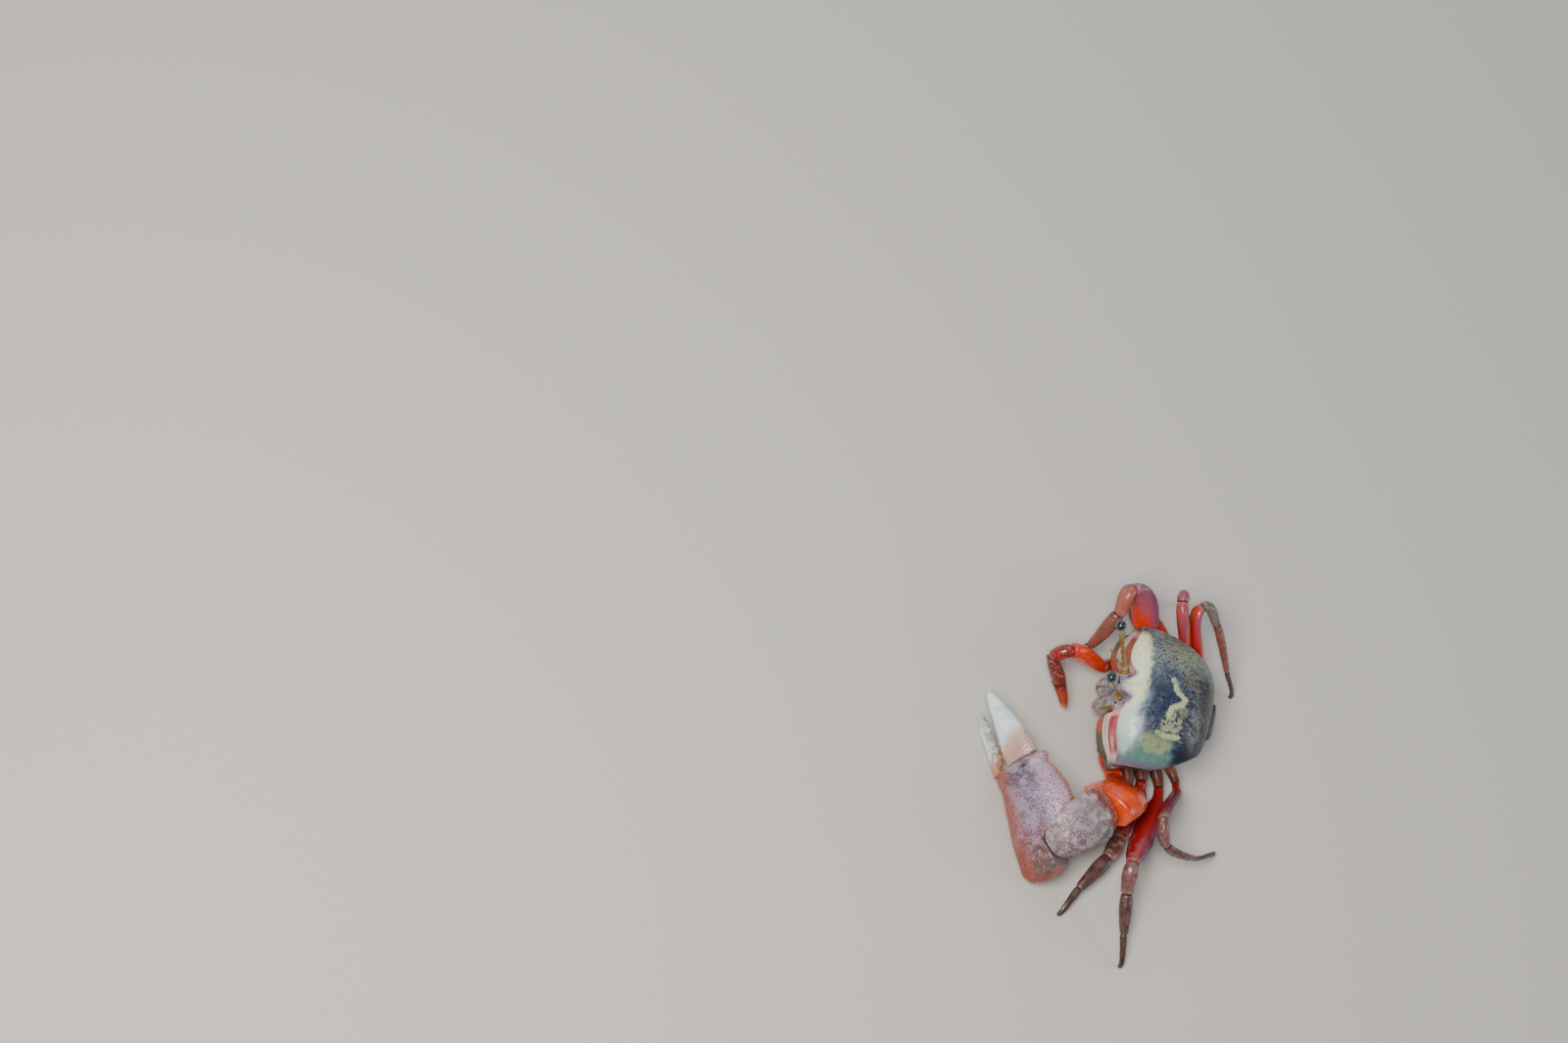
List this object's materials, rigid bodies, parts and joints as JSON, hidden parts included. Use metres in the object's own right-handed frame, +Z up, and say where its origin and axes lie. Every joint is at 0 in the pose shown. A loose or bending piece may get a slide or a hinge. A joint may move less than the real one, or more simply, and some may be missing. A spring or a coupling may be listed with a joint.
{
  "type": "fiddler crab model",
  "caption": "Life-size still model of a male fiddler crab standing with its large claw drawn in front, for display.",
  "frame": {"origin": "on the floor under the middle of the whole model's box", "axes": "+Z up, -Y the way the crab faces, +X the crab's left, towards its large claw's elbow"},
  "size_m": [0.078, 0.0564, 0.0231],
  "materials": {
    "cornea": "gloss",
    "eyestalk": "satin",
    "feeler": "satin",
    "large arm": "gloss",
    "large carpus": "satin",
    "large hand": "satin",
    "large ischium": "satin",
    "leg carpus": "satin",
    "leg dactyl": "satin",
    "leg merus": "satin",
    "leg propodus": "satin",
    "mouthparts": "satin",
    "porcelain finger": "gloss",
    "shell": "satin",
    "small arm": "satin",
    "small carpus": "satin",
    "small finger": "satin",
    "small hand": "satin",
    "small ischium": "satin",
    "tail flap": "satin",
    "underside": "satin"
  },
  "bodies": {
    "root": {"abdomen": "tail flap", "antenna_left": "feeler", "antenna_right": "feeler", "carapace": "shell", "claw_major_carpus": "large carpus", "claw_major_dactyl": "porcelain finger", "claw_major_ischium": "large ischium", "claw_major_manus": "large hand", "claw_major_merus": "large arm", "claw_minor_carpus": "small carpus", "claw_minor_dactyl": "small finger", "claw_minor_ischium": "small ischium", "claw_minor_manus": "small hand", "claw_minor_merus": "small arm", "eye_left": "cornea", "eye_right": "cornea", "eyestalk_left": "eyestalk", "eyestalk_right": "eyestalk", "leg_left_1_carpus": "leg carpus", "leg_left_1_dactyl": "leg dactyl", "leg_left_1_merus": "leg merus", "leg_left_1_propodus": "leg propodus", "leg_left_2_carpus": "leg carpus", "leg_left_2_dactyl": "leg dactyl", "leg_left_2_merus": "leg merus", "leg_left_2_propodus": "leg propodus", "leg_left_3_carpus": "leg carpus", "leg_left_3_dactyl": "leg dactyl", "leg_left_3_merus": "leg merus", "leg_left_3_propodus": "leg propodus", "leg_left_4_carpus": "leg carpus", "leg_left_4_dactyl": "leg dactyl", "leg_left_4_merus": "leg merus", "leg_left_4_propodus": "leg propodus", "leg_right_1_carpus": "leg carpus", "leg_right_1_dactyl": "leg dactyl", "leg_right_1_merus": "leg merus", "leg_right_1_propodus": "leg propodus", "leg_right_2_carpus": "leg carpus", "leg_right_2_dactyl": "leg dactyl", "leg_right_2_merus": "leg merus", "leg_right_2_propodus": "leg propodus", "leg_right_3_carpus": "leg carpus", "leg_right_3_dactyl": "leg dactyl", "leg_right_3_merus": "leg merus", "leg_right_3_propodus": "leg propodus", "leg_right_4_carpus": "leg carpus", "leg_right_4_dactyl": "leg dactyl", "leg_right_4_merus": "leg merus", "leg_right_4_propodus": "leg propodus", "maxilliped_left": "mouthparts", "maxilliped_right": "mouthparts", "sternum": "underside"}
  },
  "joints": []
}
